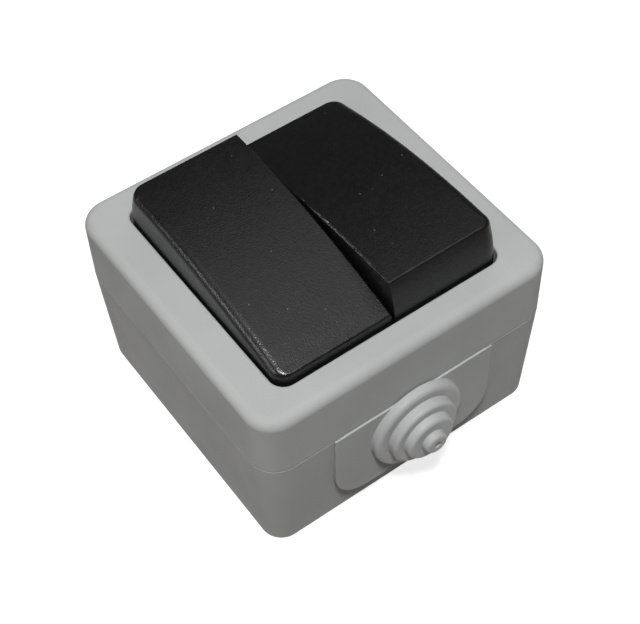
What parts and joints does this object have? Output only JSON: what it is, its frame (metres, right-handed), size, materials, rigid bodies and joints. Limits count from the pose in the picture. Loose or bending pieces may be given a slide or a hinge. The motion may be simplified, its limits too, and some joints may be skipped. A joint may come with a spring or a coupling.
{
  "type": "light switch",
  "caption": "Surface-mounted weatherproof light switch: drafted square box, rounded cover, side-by-side dark rocker keys in a well, and a stepped rubber cable entry.",
  "frame": {"origin": "centre of the flat rear face that goes against the wall", "axes": "+X across the wall to the right-hand rocker, +Y up the wall away from the cable entry, +Z out of the wall through the rockers"},
  "size_m": [0.07, 0.076, 0.0523],
  "materials": {
    "housing": "fine matt moulded grey",
    "entry_plate": "fine matt moulded grey",
    "grommet": "soft matt grey",
    "rockers": "fine spark-eroded grain, charcoal",
    "seal": "matt black",
    "mechanism": "plain moulded, off-white",
    "actuators": "plain moulded, natural white",
    "plungers": "smooth, natural",
    "springs": "drawn wire",
    "terminals": "plain stamped and milled",
    "levers": "stamped strip",
    "contacts": "fine silver face",
    "screws": "bright zinc plated"
  },
  "bodies": {
    "housing": {"base_box": "housing", "cover_gasket": "seal", "cover_frame": "housing", "cable_entry_insert": "entry_plate", "cable_grommet": "grommet", "rocker_seal": "seal", "mechanism_body": "mechanism", "mechanism_lid": "mechanism", "common_terminal": "terminals", "left_terminal": "terminals", "right_terminal": "terminals", "fixed_contact_rivets": "contacts", "terminal_screws": "screws", "cover_screws": "screws", "mechanism_screws": "screws"},
    "left_key": {"left_rocker": "rockers", "left_actuator": "actuators", "left_plunger": "plungers", "left_plunger_spring": "springs"},
    "left_contact": {"left_contact_lever": "levers", "left_lever_rivet": "contacts"},
    "right_key": {"right_rocker": "rockers", "right_actuator": "actuators", "right_plunger": "plungers", "right_plunger_spring": "springs"},
    "right_contact": {"right_contact_lever": "levers", "right_lever_rivet": "contacts"}
  },
  "joints": [
    {"name": "left_rocker_hinge", "type": "hinge", "parent": "housing", "child": "left_key", "pos_m": [-0.0134, 0, 0.0411], "axis": [1, 0, 0], "range_deg": [-15, 0]},
    {"name": "right_rocker_hinge", "type": "hinge", "parent": "housing", "child": "right_key", "pos_m": [0.0134, 0, 0.0411], "axis": [1, 0, 0], "range_deg": [0, 15]},
    {"name": "left_contact_hinge", "type": "hinge", "parent": "housing", "child": "left_contact", "pos_m": [-0.0134, 0, 0.0202], "axis": [1, 0, 0], "range_deg": [0, 15]},
    {"name": "right_contact_hinge", "type": "hinge", "parent": "housing", "child": "right_contact", "pos_m": [0.0134, 0, 0.0202], "axis": [1, 0, 0], "range_deg": [-15, 0]}
  ],
  "couplings": [
    {"joint": "left_contact_hinge", "follows": "left_rocker_hinge", "ratio": -1},
    {"joint": "right_contact_hinge", "follows": "right_rocker_hinge", "ratio": -1}
  ]
}
